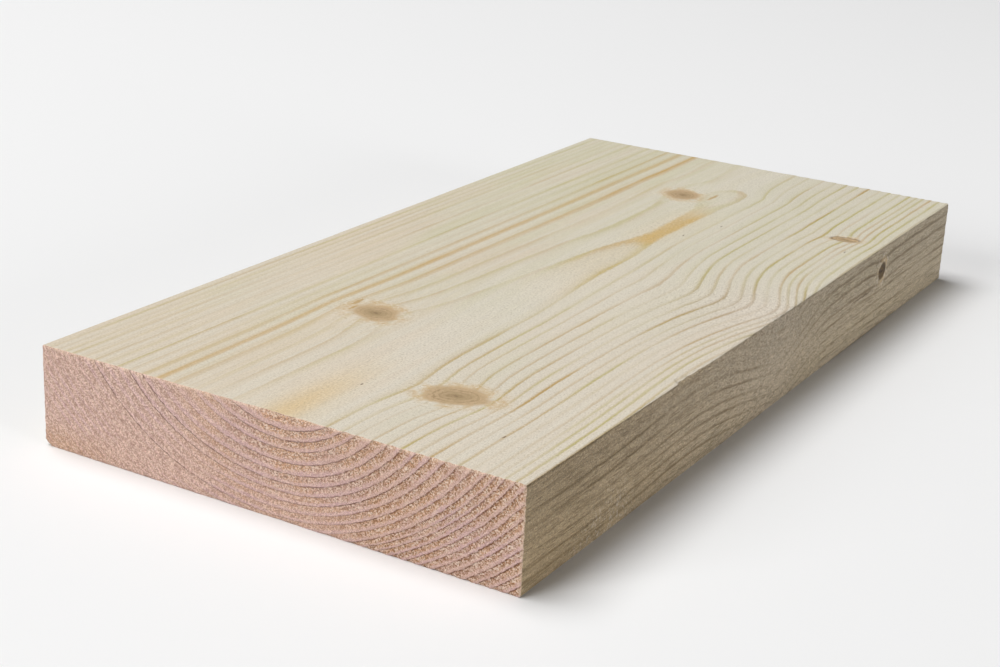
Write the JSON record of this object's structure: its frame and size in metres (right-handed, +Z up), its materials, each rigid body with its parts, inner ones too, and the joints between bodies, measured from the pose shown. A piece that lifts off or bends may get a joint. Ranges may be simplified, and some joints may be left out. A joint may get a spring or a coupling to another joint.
{
  "type": "planed timber plank",
  "caption": "Short flat rectangular length of planed softwood board, sawn square at both ends, for shelving, cladding, battens or general joinery.",
  "frame": {"origin": "centre of the underside, midway along the length and across the width", "axes": "+X across the width, towards the right-hand long edge seen from the near end; +Y along the grain, away from the near end; +Z up through the thickness, from the underside to the heart-side top face"},
  "size_m": [0.145, 0.3, 0.028],
  "materials": {
    "spruce": "planed bare softwood, sawn ends"
  },
  "bodies": {
    "root": {"plank": "spruce"}
  },
  "joints": []
}
